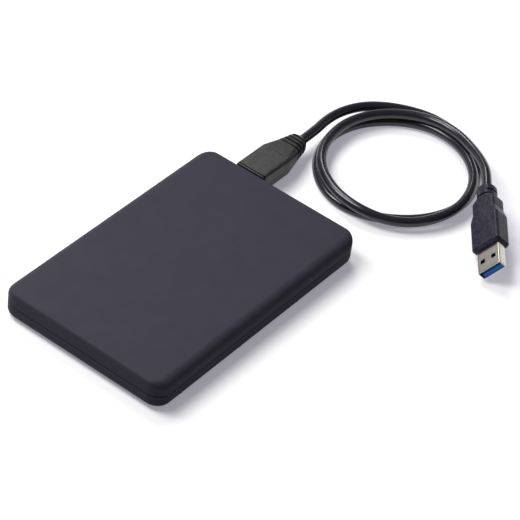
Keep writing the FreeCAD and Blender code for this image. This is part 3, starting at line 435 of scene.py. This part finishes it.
# distance from the front, then those three
host_plug_stations = np.array([
    (0.0, *host_front),
    (1.0, *host_grip),
    (17.0, *host_grip),
    (21.5, *host_waist),
    (27.5, *host_waist),
    (30.0, *host_collar),
    (host_length, *host_collar),
])
host_plug_seat = (
    shell_width + 2 * seat_room,
    shell_height + 2 * seat_room,
    shell_corner,
    shell_hidden + seat_room,
)
slot_width, slot_depth = 0.9, 0.8
broad_slot, narrow_slot = 29.95, 32.4
front_stretch, collar_stretch = 1.6, 29.8
kink_softness, end_round = 0.25, 0.3
at = places_along((0, front_stretch, 25), (front_stretch, collar_stretch, 84),
                  (collar_stretch, host_length, 100))
cut_broad = grooves(at, broad_slot, slot_width, 1, slot_width, slot_depth)
cut_narrow = grooves(at, narrow_slot, slot_width, 1, slot_width, slot_depth)
host_plug = overmould(
    "host_plug_grip", at, sizes_along(host_plug_stations, at, kink_softness),
    rounded_ends(at, end_round), cuts=(cut_broad, cut_narrow), seat=host_plug_seat,
    origin=host_place, directions=(host_z, host_y, -host_x))
stand_in(host_plug, "host_plug_body", "grip_black")


# %% [markdown]
# Metal shell of the computer plug
#
# The shell is a strip of sheet steel, folded round until its two edges meet, with two latch windows
# in each broad side. Cutting windows out of a finished box would take boolean operations. So it is
# modelled as the strip: a line of points round the section, carried along the shell, without the quads
# where the windows are. Solidify then gives the strip its thickness, and a fine bevel gives the cut
# edges the bright line that they have on real sheet.

# %% Section of the sheet
window_inner, window_outer = 1.75, 4.05
window_back, window_front = 5.45, 7.75
fold_gap = 0.07


def folded_section():
    """Open line round the shell's section, from one edge of the strip to the other: along half of the
    lower broad side, round a corner and up over the other broad side, then the same mirrored. It has
    a point at each edge of a window."""
    half_width, half_height = shell_width / 2, shell_height / 2
    straight = half_height - shell_corner
    marks = np.array((fold_gap / 2, window_inner, window_outer, half_width - shell_corner))
    bend = np.radians(np.linspace(0, 90, 8))[1:-1]
    out = np.concatenate((marks, half_width - shell_corner * (1 - np.sin(bend)), np.full(2, half_width)))
    down = np.concatenate((np.full(len(marks), half_height), straight + shell_corner * np.cos(bend),
                           (straight, straight / 2)))
    quarter = np.column_stack((out, -down))
    right = np.concatenate((quarter, ((half_width, 0.0),), quarter[:0:-1] * (1, -1)))
    return np.concatenate((right, ((0.0, half_height),), right[::-1] * (-1, 1)))


section = folded_section()
print("section of the sheet:", len(section), "points")

# %% Sheet along the shell
mouth_roll, mouth_slope = 0.3, 0.25
edge_bevel = 0.05
along_shell = np.concatenate((np.linspace(-shell_hidden, window_back, 8), (window_front,),
                              np.linspace(window_front, shell_length, 6)[1:]))
# the mouth is rolled in a little, so that the plug finds its socket
rolled_in = np.clip(along_shell - shell_length + mouth_roll, 0, None) * mouth_slope
rolled = section[None] - np.sign(section)[None] * rolled_in[:, None, None]
strip = along_shell[:, None, None] * host_x + rolled[..., :1] * host_y + rolled[..., 1:] * host_z
rows, columns = strip.shape[:2]
quads = ring_quads(rows, columns).reshape(rows - 1, columns, 4)[:, :-1]
middle_out = np.abs(section[:-1, 0] + section[1:, 0]) / 2
middle_along = (along_shell[:-1] + along_shell[1:]) / 2
beside_window = (middle_along > window_back) & (middle_along < window_front)
across_window = (middle_out > window_inner) & (middle_out < window_outer)
in_window = beside_window[:, None] & across_window[None]
shell_mesh = bpy.data.meshes.new("host_plug_sheet")
shell_mesh.from_pydata((strip + host_place).reshape(-1, 3) * mm, [], quads[~in_window].tolist())
shell_mesh.shade_smooth()
host_shell = bpy.data.objects.new("host_plug_sheet", shell_mesh)
bpy.context.scene.collection.objects.link(host_shell)
thickness = host_shell.modifiers.new("thickness", "SOLIDIFY")
thickness.thickness = shell_wall * mm
thickness.offset = -1
cut_edge = host_shell.modifiers.new("cut_edge", "BEVEL")
cut_edge.width = edge_bevel * mm
cut_edge.segments = 2
cut_edge.limit_method = "ANGLE"
cut_edge.angle_limit = sharp_edge
stand_in(host_shell, "host_plug_shell", "nickel_shell")


# %% [markdown]
# Rubber feet
#
# Four small discs of rubber are pressed into the tray. A cylinder with bevelled edges would do from
# afar. Here a disc is a surface of revolution: a profile of radius and height, turned about the foot's
# own axis. The profile has a shallow dish below, so that the foot rests on a ring, and a soft outer edge.

# %% Rubber feet
foot_turn = np.radians(np.arange(0, 360, 7.5))
foot_edge = 0.3
# shares of the foot's radius, and heights in millimetres
dish_reach = np.array((0.55, 0.62, 0.66))
dish_rise = (0.14, 0.10, 0.0)


def foot_rings(low, high):
    """Rings of a foot: for each profile point, a circle of that radius at that height. The profile goes
    out through the dish, round the edge by a quarter circle, and straight up."""
    radius = (high[0] - low[0]) / 2
    bend = np.radians(np.linspace(0, 90, 6))
    reach = np.concatenate((dish_reach * radius, radius - foot_edge + foot_edge * np.sin(bend), (radius,)))
    rise = np.concatenate((dish_rise, foot_edge - foot_edge * np.cos(bend), (high[2] - low[2],)))
    middle = (low + high) / 2
    circle = np.stack((np.cos(foot_turn), np.sin(foot_turn)), axis=-1)
    flat = middle[:2] + reach[:, None, None] * circle
    level = np.broadcast_to((low[2] + rise)[:, None, None], (*flat.shape[:2], 1))
    return np.concatenate((flat, level), axis=2)


foot_names = [name for name in frame["nodes"] if name.startswith("foot_")]
for name in foot_names:
    stand_in(skin("rubber_" + name, foot_rings(*box_in_mm(name))), name, "foot_rubber")


# %% [markdown]
# Colours and nodes
#
# Colours are picked as sRGB hex values, as a painter would read them from a screen, but a shader
# works with linear light. One function turns the one into the other, and one adds a shader node, which
# keeps each material down to a few lines.

# %% Colours and nodes
def linear(hex_colour):
    """sRGB hex value as linear light: divided by 12.92 near black, else ((c + 0.055) / 1.055) ** 2.4."""
    value = np.array([int(hex_colour[place:place + 2], 16) for place in (1, 3, 5)]) / 255
    light = np.where(value <= 0.04045, value / 12.92, ((value + 0.055) / 1.055) ** 2.4)
    return (*light.tolist(), 1.0)


def add_node(owner, kind, inputs=None, links=None, **settings):
    """Add a shader node to a material or a world, set its attributes and the values of its inputs, and
    link the rest."""
    node = owner.node_tree.nodes.new("ShaderNode" + kind)
    for name, value in settings.items():
        setattr(node, name, value)
    for name, value in (inputs or {}).items():
        node.inputs[name].default_value = value
    for name, socket in (links or {}).items():
        owner.node_tree.links.new(socket, node.inputs[name])
    return node


def new_material(name):
    """Empty node material, with the place of a point on the piece."""
    material = bpy.data.materials.new(name)
    material.use_nodes = True
    material.node_tree.nodes.clear()
    return material, add_node(material, "TexCoord").outputs["Object"]


print("the grey #808080 is", round(linear("#808080")[0], 3), "in linear light")


# %% [markdown]
# Grained surfaces
#
# Moulded plastic copies the spark-eroded grain of its mould, and lacquer, rubber, foam and cast metal
# have a grain of their own. A painted texture would need an image. Noise does it with two sizes in
# millimetres: fine noise drives the bump and the roughness, and broad noise drifts the colour between
# two close tones. With some transmission the same surface is a clear resin.

# %% Grained surfaces
tone_places = (0.3, 0.7)
# depths below the surface where painted shade in a slot starts and where it is full, in millimetres
shade_start_depth, shade_full_depth = 0.2, 0.6


def tone_and_roughness(material, broad, fine, dark, light, roughness):
    """Links for a shader: a ramp between two tones from broad noise, and roughness from fine noise."""
    tone = add_node(material, "ValToRGB", links={"Fac": broad})
    for stop, place, colour in zip(tone.color_ramp.elements, tone_places, (dark, light)):
        stop.position = place
        stop.color = linear(colour)
    rough = add_node(material, "MapRange", {"To Min": roughness[0], "To Max": roughness[1]}, {"Value": fine})
    return {"Base Color": tone.outputs["Color"], "Roughness": rough.outputs["Result"]}


def paint_shade_in_slots(material, colour, painted_shade_colour):
    """Painted shade: a colour that goes over into a dark one as a point lies deeper in a slot."""
    depth = add_node(material, "Attribute", attribute_name="slot_depth").outputs["Fac"]
    share = add_node(material, "MapRange", {"From Min": shade_start_depth, "From Max": shade_full_depth},
                     {"Value": depth})
    shown = add_node(material, "MixRGB", {"Color2": linear(painted_shade_colour)},
                     {"Fac": share.outputs["Result"], "Color1": colour})
    return shown.outputs["Color"]


def grained(name, dark, light, grain, roughness, relief=0.0, patch=9.0, detail=2.0, slot_shade=None,
            **shader_inputs):
    """Grain and patch are sizes in millimetres, relief the height of the grain's bump in millimetres, and the
    slot colour a dark one painted as shade at the bottom of a slot. Further names are inputs of the shader,
    with _ for a space."""
    material, place = new_material(name)
    fine = add_node(material, "TexNoise", {"Scale": 1 / (grain * mm), "Detail": detail}, {"Vector": place})
    broad = add_node(material, "TexNoise", {"Scale": 1 / (patch * mm), "Detail": 3.0}, {"Vector": place})
    links = tone_and_roughness(material, broad.outputs["Fac"], fine.outputs["Fac"], dark, light, roughness)
    bump = add_node(material, "Bump", {"Distance": relief * mm}, {"Height": fine.outputs["Fac"]})
    links["Normal"] = bump.outputs["Normal"]
    # painted shade: the base colour darkens towards the bottom of a slot
    if slot_shade:
        links["Base Color"] = paint_shade_in_slots(material, links["Base Color"], slot_shade)
    inputs = {name.replace("_", " "): value for name, value in shader_inputs.items()}
    shader = add_node(material, "BsdfPrincipled", inputs, links)
    add_node(material, "OutputMaterial", links={"Surface": shader.outputs["BSDF"]})
    return material


# painted shade in a slot starts this far below the surface
print("a slot's own colour starts", shade_start_depth, "mm below the surface")


# %% [markdown]
# Worked metals
#
# Rolling, brushing and turning leave lines in a metal. They could be drawn one by one, but noise that
# is stretched along the work looks the same and never repeats. The lines drive the bump and the
# roughness, so the metal's reflections break up along them, as on the real sheet.

# %% Worked metals
patch_lines = 8


def worked_metal(name, dark, light, line, roughness, relief, stretch=(1.0, 12.0, 1.0)):
    """Metal with lines a given distance apart and a bump of a given height, both in millimetres. The
    lines are stretched along X, Y and Z by three factors, and the tone drifts over patches of several
    lines."""
    material, place = new_material(name)
    stretched = add_node(material, "Mapping", {"Scale": [1 / factor for factor in stretch]},
                         {"Vector": place})
    lines = add_node(material, "TexNoise", {"Scale": 1 / (line * mm), "Detail": 3.0},
                     {"Vector": stretched.outputs["Vector"]}).outputs["Fac"]
    broad = add_node(material, "TexNoise", {"Scale": 1 / (patch_lines * line * mm), "Detail": 2.0},
                     {"Vector": place}).outputs["Fac"]
    links = tone_and_roughness(material, broad, lines, dark, light, roughness)
    bump = add_node(material, "Bump", {"Distance": relief * mm}, {"Height": lines})
    links["Normal"] = bump.outputs["Normal"]
    shader = add_node(material, "BsdfPrincipled", {"Metallic": 1.0}, links)
    add_node(material, "OutputMaterial", links={"Surface": shader.outputs["BSDF"]})
    return material


print("a patch of one tone is", patch_lines, "lines wide")


# %% [markdown]
# What shows from outside
#
# The case is ABS under a thin rubbery lacquer: hardly any gloss, a grey with a breath of violet. The
# plugs are soft PVC with the mould's grain, the cord is PVC drawn smooth from a die, and so it shines.
# The grain of both plugs is finer on real ones: it is drawn about twice as coarse, so that it shows.

# %% Finishes that show from outside
finishes = {
    # sprayed lacquer with matting grains of about 0.2 mm: a dry, even grey that only hints at a sheen
    "soft_touch_case": grained(
        "soft_touch_lacquer_on_abs", "#393742", "#3C3A45", grain=0.22, roughness=(0.52, 0.64),
        relief=0.010, IOR=1.45, Specular_IOR_Level=0.10),
    # moulded rubber: nearly black, dull, with dust in its pores
    "foot_rubber": grained(
        "moulded_rubber", "#1B1B1C", "#242425", grain=0.3, roughness=(0.70, 0.85), relief=0.02, patch=3.0),
    # PVC from an eroded mould: neutral grey, speckled, with painted shade in its slots
    "grip_grey": grained(
        "moulded_grey_pvc", "#1C1C1B", "#343433", grain=0.60, roughness=(0.33, 0.43), relief=0.060,
        patch=1.4, slot_shade="#0B0B0B", IOR=1.53, Specular_IOR_Level=0.38),
    # the same PVC in black, from a coarser mould: leathery, with less gloss, and painted shade in its slots
    "grip_black": grained(
        "moulded_black_pvc", "#1E1B27", "#3D3A4A", grain=0.80, roughness=(0.30, 0.42), relief=0.14,
        patch=1.3, slot_shade="#070709", IOR=1.53, Specular_IOR_Level=0.15),
    # PVC drawn through a polished die: black, with a narrow bright line along the cable
    "cord_pvc": grained(
        "extruded_black_pvc", "#222029", "#292731", grain=0.6, roughness=(0.18, 0.26), relief=0.006,
        patch=12.0, IOR=1.53),
    # bright nickel over rolled steel: a warm, slightly dulled mirror
    "nickel_shell": worked_metal(
        "nickel_plated_steel", "#C4BDB1", "#D2CBC0", line=0.12, roughness=(0.22, 0.26), relief=0.0002),
    # glass-filled nylon in the blue that tells fast plugs from slow ones
    "blue_insulator": grained(
        "blue_moulded_nylon", "#1F7FE6", "#2C90F2", grain=0.3, roughness=(0.36, 0.48), relief=0.008,
        patch=4.0, IOR=1.53, Specular_IOR_Level=0.3),
    # hard gold flashed over bronze springs
    "gold_contact": worked_metal(
        "gold_plated_bronze", "#D6A03C", "#E2B252", line=0.1, roughness=(0.18, 0.28), relief=0.002),
}
print(len(finishes), "finishes show from outside")


# %% [markdown]
# What is inside
#
# Hardly anything of this shows while the case is closed, but someone who takes it apart should find
# real materials: laminate with solder mask, die-cast and turned aluminium, mirror-smooth platters,
# wound copper. Each is one of the same two families, with the grain of its own making.

# %% Finishes of plastic, board and rubber inside
finishes.update({
    # black nylon of the sockets
    "black_insulator": grained(
        "black_moulded_nylon", "#121214", "#19191B", grain=0.25, roughness=(0.45, 0.60), relief=0.008,
        patch=3.0, IOR=1.53),
    # glass cloth and resin under green solder mask: the weave shows as a fine unevenness
    "board_laminate": grained(
        "green_solder_mask_on_laminate", "#0F4A2B", "#15603A", grain=0.5, roughness=(0.30, 0.46),
        relief=0.012, patch=2.5),
    # transfer-moulded epoxy of chips: dark and evenly dull
    "chip_epoxy": grained(
        "moulded_epoxy", "#17171A", "#1E1E21", grain=0.12, roughness=(0.58, 0.72), relief=0.006, patch=2.0),
    # fired ceramic: matte and warm, with fine pores
    "ceramic": grained(
        "sintered_ceramic", "#8E7A5E", "#A08A6C", grain=0.1, roughness=(0.50, 0.66), relief=0.006, patch=1.0),
    # cast resin of the lamp: clear with a tint, its flow lines bend the light
    "led_resin": grained(
        "clear_lamp_resin", "#DDE6F2", "#E8EEF6", grain=0.4, roughness=(0.04, 0.10), relief=0.004,
        patch=2.0, Transmission_Weight=0.9, IOR=1.5),
    # moulded acrylic of the light pipe, milky so that it spreads the lamp's light
    "clear_acrylic": grained(
        "milky_acrylic", "#A9ADB2", "#B4B8BC", grain=0.5, roughness=(0.30, 0.40), relief=0.003,
        patch=3.0, Transmission_Weight=0.45, IOR=1.49),
    # open-cell foam: pores of half a millimetre in a sooty black
    "black_foam": grained(
        "open_cell_foam", "#151516", "#232324", grain=0.5, roughness=(0.85, 0.98), relief=0.18,
        patch=1.2, detail=4.0),
    # dispensed rubber of the lid's seal
    "gasket_rubber": grained(
        "moulded_gasket_rubber", "#1A1B1B", "#232424", grain=0.25, roughness=(0.60, 0.75), relief=0.015,
        patch=2.0),
    # acetal of the parking ramp: waxy and ivory white
    "ramp_polymer": grained(
        "moulded_acetal", "#E2DDCF", "#ECE7DA", grain=0.3, roughness=(0.34, 0.46), relief=0.006,
        patch=3.0, Subsurface_Weight=0.15, Subsurface_Radius=(0.001, 0.0008, 0.0006)),
    # pressed fibre of the filter: felted white threads
    "filter_paper": grained(
        "pressed_filter_fibre", "#D8D5CC", "#ECEAE4", grain=0.18, roughness=(0.85, 0.95), relief=0.06,
        patch=1.0, detail=5.0),
})
print(len(finishes), "finishes with those inside the case")

# %% Finishes of metal inside
finishes.update({
    # zinc-plated steel of screws, sleeves and shafts
    "small_metal": worked_metal(
        "zinc_plated_steel", "#A9ABAD", "#BDBFC0", line=0.15, roughness=(0.26, 0.40), relief=0.003,
        stretch=(1.0, 1.0, 6.0)),
    # pressure-cast aluminium: grey skin with the flow and the pebble of the die
    "cast_aluminium": grained(
        "die_cast_aluminium", "#8C8E8F", "#A0A2A3", grain=0.7, roughness=(0.42, 0.58), relief=0.03,
        patch=6.0, Metallic=1.0),
    # turned and milled aluminium: bright, with the tool's fine lines
    "machined_aluminium": worked_metal(
        "milled_aluminium", "#C2C4C6", "#D0D2D3", line=0.12, roughness=(0.22, 0.36), relief=0.004,
        stretch=(10.0, 1.0, 1.0)),
    # rolled and stamped lid: satin, lines along the sheet
    "stamped_lid": worked_metal(
        "stamped_aluminium_sheet", "#B2B4B5", "#C2C4C4", line=0.2, roughness=(0.28, 0.42), relief=0.004),
    # lacquered magnetic film on polished glass: a dark mirror
    "platter_coating": grained(
        "polished_platter_film", "#8F8C8A", "#949190", grain=2.0, roughness=(0.03, 0.05), patch=30.0,
        Metallic=1.0),
    # enamelled copper wire: orange bands a wire apart
    "stator_winding": worked_metal(
        "enamelled_copper_wire", "#A65A2A", "#C4743A", line=0.3, roughness=(0.20, 0.34), relief=0.05,
        stretch=(6.0, 1.0, 6.0)),
    # nickel-plated magnet and its steel plates
    "magnet_plate_steel": worked_metal(
        "nickel_plated_magnet_steel", "#A8A49C", "#B8B4AC", line=0.25, roughness=(0.20, 0.32), relief=0.003),
})
print(len(finishes), "finishes in all")


# %% [markdown]
# Finish on piece
#
# The frame's record says which finish each solid takes, and a piece that stands for a solid carries
# the same name. Materials could be given one by one, but a loop over the record forgets no piece.

# %% Finish on piece
def dress(piece, slot):
    """Give a piece one material and no other."""
    piece.data.materials.clear()
    piece.data.materials.append(finishes[slot])


for part in frame["record"]["subparts"]:
    dress(frame["nodes"][part["node"]], part["material_slot"])
new_pieces = [piece for piece in bpy.data.objects if "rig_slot" in piece]
for piece in new_pieces:
    dress(piece, piece["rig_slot"])
print(len(frame["nodes"]), "solids and", len(new_pieces), "new pieces are dressed")


# %% [markdown]
# The cord and what is on it
#
# A cord is a fixed length of something flexible. This one runs from the plug in the drive to the plug for the
# computer, and both plugs sit at its ends with their metal and plastic.


# %% [markdown]
# Floor
#
# A white paper sweep is brighter than white in such a picture, and only shadow shows on it. The floor
# therefore glows a little towards the camera and in reflections, and the rest of its white is light
# that falls on it, which a shadow takes away. The lamps hang close, so further out less light falls on
# it, and there the glow grows with the distance until it is white by itself. For the light that bounces
# on to the case it is a plain pale floor.

# %% Floor
floor_size = 6.0
floor_corners = floor_size / 2 * np.array([(-1, -1, 0), (1, -1, 0), (1, 1, 0), (-1, 1, 0)])
floor_mesh = bpy.data.meshes.new("floor")
floor_mesh.from_pydata(floor_corners, [], [(0, 1, 2, 3)])
floor = bpy.data.objects.new("floor", floor_mesh)
bpy.context.scene.collection.objects.link(floor)
print("floor is", floor_size, "m wide")

# %% White paper
lit_middle = (0.0, -0.02, 0.0)
# how far from there the glow starts to grow and where it is full, in metres
lit_reach, white_reach = 0.10, 0.45
near_glow, far_glow = 1.0, 3.6
paper, floor_place = new_material("white_paper_sweep")
rays = add_node(paper, "LightPath").outputs
mirrored = add_node(paper, "Math", links={0: rays["Is Glossy Ray"], 1: rays["Is Transmission Ray"]},
                    operation="MAXIMUM").outputs[0]
seen = add_node(paper, "Math", links={0: rays["Is Camera Ray"], 1: mirrored}, operation="MAXIMUM").outputs[0]
distance = add_node(paper, "VectorMath", {1: lit_middle}, {0: floor_place},
                    operation="DISTANCE").outputs["Value"]
strength = add_node(
    paper, "MapRange",
    {"From Min": lit_reach, "From Max": white_reach, "To Min": near_glow, "To Max": far_glow},
    {"Value": distance}, interpolation_type="SMOOTHSTEP").outputs["Result"]
glow = add_node(paper, "Emission", {"Color": linear("#8B8A94")}, {"Strength": strength})
matte = add_node(paper, "BsdfDiffuse", {"Color": linear("#EFEFEC")})
shown = add_node(paper, "AddShader", links={0: glow.outputs[0], 1: matte.outputs[0]})
plain = add_node(paper, "BsdfDiffuse", {"Color": linear("#B1AEB8")})
surface = add_node(paper, "MixShader", links={0: seen, 1: plain.outputs[0], 2: shown.outputs[0]})
add_node(paper, "OutputMaterial", links={"Surface": surface.outputs[0]})
floor_mesh.materials.append(paper)
print("white paper has", len(paper.node_tree.nodes), "nodes")


# %% [markdown]
# Lamps
#
# Three softboxes stand on the left, so that the shadows fall to the right. The key hangs near, so the
# top is brightest at its left edge, and its long side reaches out from above the case, which makes the
# shadow's edge wide and soft. The second one hangs high and fills the table and the plugs. The small
# third one stands far back, where the round cord mirrors it as bright lines along its ridge. One large
# lamp would be simpler, but it would give the cord no lines and the top no slope of light.

# %% Lamps
def softbox(name, place, target, width, depth, power):
    """Rectangular lamp at a place, turned so that its back points away from the target."""
    lamp = bpy.data.lights.new(name, "AREA")
    lamp.shape = "RECTANGLE"
    lamp.size = width
    lamp.size_y = depth
    lamp.energy = power
    lamp_object = bpy.data.objects.new(name, lamp)
    back = np.array(place) - np.array(target)
    back /= np.linalg.norm(back)
    side = np.cross((0.0, 1.0, 0.0), back)
    side /= np.linalg.norm(side)
    lamp_object.matrix_world = placing((side, np.cross(back, side), back), place)
    bpy.context.scene.collection.objects.link(lamp_object)
    return lamp


aim = (0.02, 0.04, 0.0)
lamps = [
    softbox("key_softbox", (-0.29, -0.14, 0.53), aim, width=0.45, depth=0.25, power=3.5),
    softbox("back_softbox", (-0.58, 0.38, 0.98), aim, width=0.40, depth=0.40, power=4.4),
    softbox("ridge_softbox", (-0.66, 0.70, 0.75), aim, width=0.22, depth=0.22, power=1.4),
]
print("lamps:", [(lamp.name, round(lamp.energy, 1)) for lamp in lamps])


# %% [markdown]
# Room
#
# The room round the table is dim for the light that it sends on to the object. The eye sees white
# paper behind it. In reflections the paper shows too, as a band along the horizon that is white
# behind the object, where the paper rises, and fades towards the front and into the dark room above.
# A few nodes on the world say all that, where a built room would need walls and more lamps.

# %% Room
dim_room, dark_above = 0.10, 0.08
# how far a direction points to the front or the back, and how bright the paper is there
front_way, back_way = -0.6, 0.8
paper_in_front, paper_behind = 0.25, 1.0
# how steeply a direction rises where the paper starts to fade and where the dark room is reached
band_full, band_end = 0.12, 0.40
world = bpy.data.worlds.new("studio")
bpy.context.scene.world = world
world.use_nodes = True
world.node_tree.nodes.clear()
sky = add_node(world, "TexCoord").outputs["Generated"]
way = add_node(world, "SeparateXYZ", links={"Vector": sky}).outputs
paper_level = add_node(
    world, "MapRange",
    {"From Min": front_way, "From Max": back_way, "To Min": paper_in_front, "To Max": paper_behind},
    {"Value": way["Y"]}).outputs["Result"]
band = add_node(world, "MapRange", {"From Min": band_full, "From Max": band_end, "To Max": dark_above},
                {"Value": way["Z"], "To Min": paper_level}, interpolation_type="SMOOTHSTEP").outputs["Result"]
rays = add_node(world, "LightPath").outputs
mirrored = add_node(world, "Math", links={0: rays["Is Glossy Ray"], 1: rays["Is Transmission Ray"]},
                    operation="MAXIMUM").outputs[0]
level = add_node(world, "Mix", {"A": dim_room}, {"Factor": mirrored, "B": band}).outputs["Result"]
level = add_node(world, "Mix", {"B": 1.0}, {"Factor": rays["Is Camera Ray"], "A": level}).outputs["Result"]
room = add_node(world, "Background", {"Color": linear("#FFFFFF")}, {"Strength": level})
add_node(world, "OutputWorld", links={"Surface": room.outputs[0]})
bpy.context.scene.view_settings.view_transform = "Standard"
print("room has", len(world.node_tree.nodes), "nodes")
